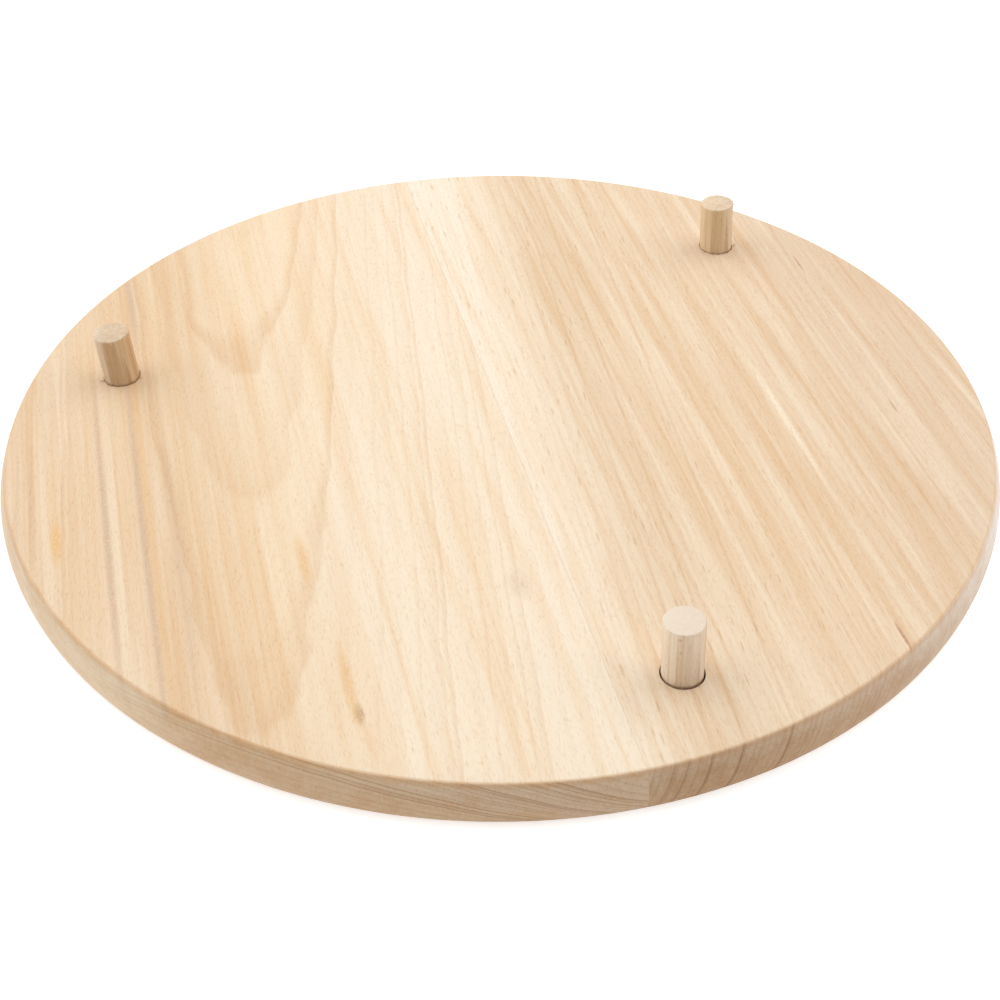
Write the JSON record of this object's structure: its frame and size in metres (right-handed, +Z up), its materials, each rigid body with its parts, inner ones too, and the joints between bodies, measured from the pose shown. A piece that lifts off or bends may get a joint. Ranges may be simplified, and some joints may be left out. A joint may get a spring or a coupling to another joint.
{
  "type": "round peg board",
  "caption": "Round beech board of edge-glued halves with short dowel pegs standing in blind holes near its rim.",
  "frame": {"origin": "centre of the disc's flat underside, the face that it lies on with the pegs up", "axes": "+Z up through the disc, the way the pegs point; +Y along the glue joint and the grain; +X across the boards, towards the straight-grained one, with the front peg near -Y"},
  "size_m": [0.3256, 0.3256, 0.0335],
  "materials": {
    "pale_beech": "bare sanded beech, flat-sawn",
    "straight_beech": "bare sanded beech, straight-grained",
    "dowel_beech": "bare machined beech dowel"
  },
  "bodies": {
    "root": {"left_board": "pale_beech", "right_board": "straight_beech", "front_peg": "dowel_beech", "back_peg": "dowel_beech", "left_peg": "dowel_beech"}
  },
  "joints": []
}
